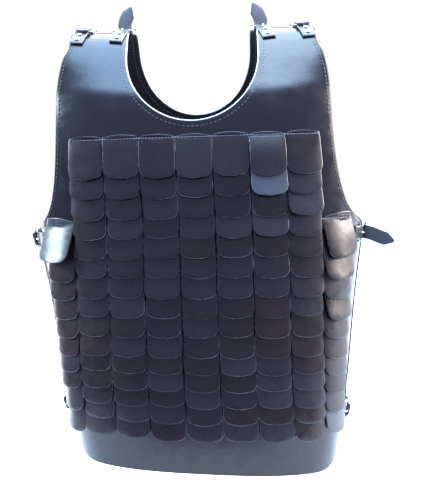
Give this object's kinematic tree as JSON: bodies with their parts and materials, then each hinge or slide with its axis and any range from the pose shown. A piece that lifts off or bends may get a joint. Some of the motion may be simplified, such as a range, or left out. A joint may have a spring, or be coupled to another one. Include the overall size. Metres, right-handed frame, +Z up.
{
  "type": "lamellar leather armour",
  "caption": "Sleeveless leather cuirass with overlapping sewn leather scales on the chest, joined at the shoulders and sides by straps and roller buckles.",
  "frame": {"origin": "on the crest between the two shoulders, at the height where the leather lies on the wearer's or stand's shoulders", "axes": "+Z up, the front with the scales faces -Y, +X to the right of someone who looks at the front"},
  "size_m": [0.4842, 0.2585, 0.6195],
  "materials": {
    "black_leather": "satin black vegetable-tanned leather, 3 mm, finished with wax",
    "scale_leather": "satin black leather scales, 2 mm, worn light at the cut edges",
    "strap_leather": "black strap leather, 2.5 mm",
    "nickelled_steel": "nickel-plated steel wire and rivet caps"
  },
  "bodies": {
    "root": {"front_plate": "black_leather", "back_plate": "black_leather", "scale_row_01": "scale_leather", "scale_row_02": "scale_leather", "scale_row_03": "scale_leather", "scale_row_04": "scale_leather", "scale_row_05": "scale_leather", "scale_row_06": "scale_leather", "scale_row_07": "scale_leather", "scale_row_08": "scale_leather", "scale_row_09": "scale_leather", "scale_row_10": "scale_leather", "scale_row_11": "scale_leather", "scale_row_12": "scale_leather", "scale_row_13": "scale_leather", "scale_row_14": "scale_leather", "scale_row_15": "scale_leather", "left_inner_shoulder_tab": "strap_leather", "left_inner_shoulder_strap": "strap_leather", "left_inner_shoulder_buckle": "nickelled_steel", "left_inner_shoulder_prong": "nickelled_steel", "left_inner_shoulder_rivet_1": "nickelled_steel", "left_inner_shoulder_rivet_2": "nickelled_steel", "left_outer_shoulder_tab": "strap_leather", "left_outer_shoulder_strap": "strap_leather", "left_outer_shoulder_buckle": "nickelled_steel", "left_outer_shoulder_prong": "nickelled_steel", "left_outer_shoulder_rivet_1": "nickelled_steel", "left_outer_shoulder_rivet_2": "nickelled_steel", "left_upper_side_tab": "strap_leather", "left_upper_side_strap": "strap_leather", "left_upper_side_buckle": "nickelled_steel", "left_upper_side_prong": "nickelled_steel", "left_lower_side_tab": "strap_leather", "left_lower_side_strap": "strap_leather", "left_lower_side_buckle": "nickelled_steel", "left_lower_side_prong": "nickelled_steel", "right_inner_shoulder_tab": "strap_leather", "right_inner_shoulder_strap": "strap_leather", "right_inner_shoulder_buckle": "nickelled_steel", "right_inner_shoulder_prong": "nickelled_steel", "right_inner_shoulder_rivet_1": "nickelled_steel", "right_inner_shoulder_rivet_2": "nickelled_steel", "right_outer_shoulder_tab": "strap_leather", "right_outer_shoulder_strap": "strap_leather", "right_outer_shoulder_buckle": "nickelled_steel", "right_outer_shoulder_prong": "nickelled_steel", "right_outer_shoulder_rivet_1": "nickelled_steel", "right_outer_shoulder_rivet_2": "nickelled_steel", "right_upper_side_tab": "strap_leather", "right_upper_side_strap": "strap_leather", "right_upper_side_buckle": "nickelled_steel", "right_upper_side_prong": "nickelled_steel", "right_lower_side_tab": "strap_leather", "right_lower_side_strap": "strap_leather", "right_lower_side_buckle": "nickelled_steel", "right_lower_side_prong": "nickelled_steel"}
  },
  "joints": []
}
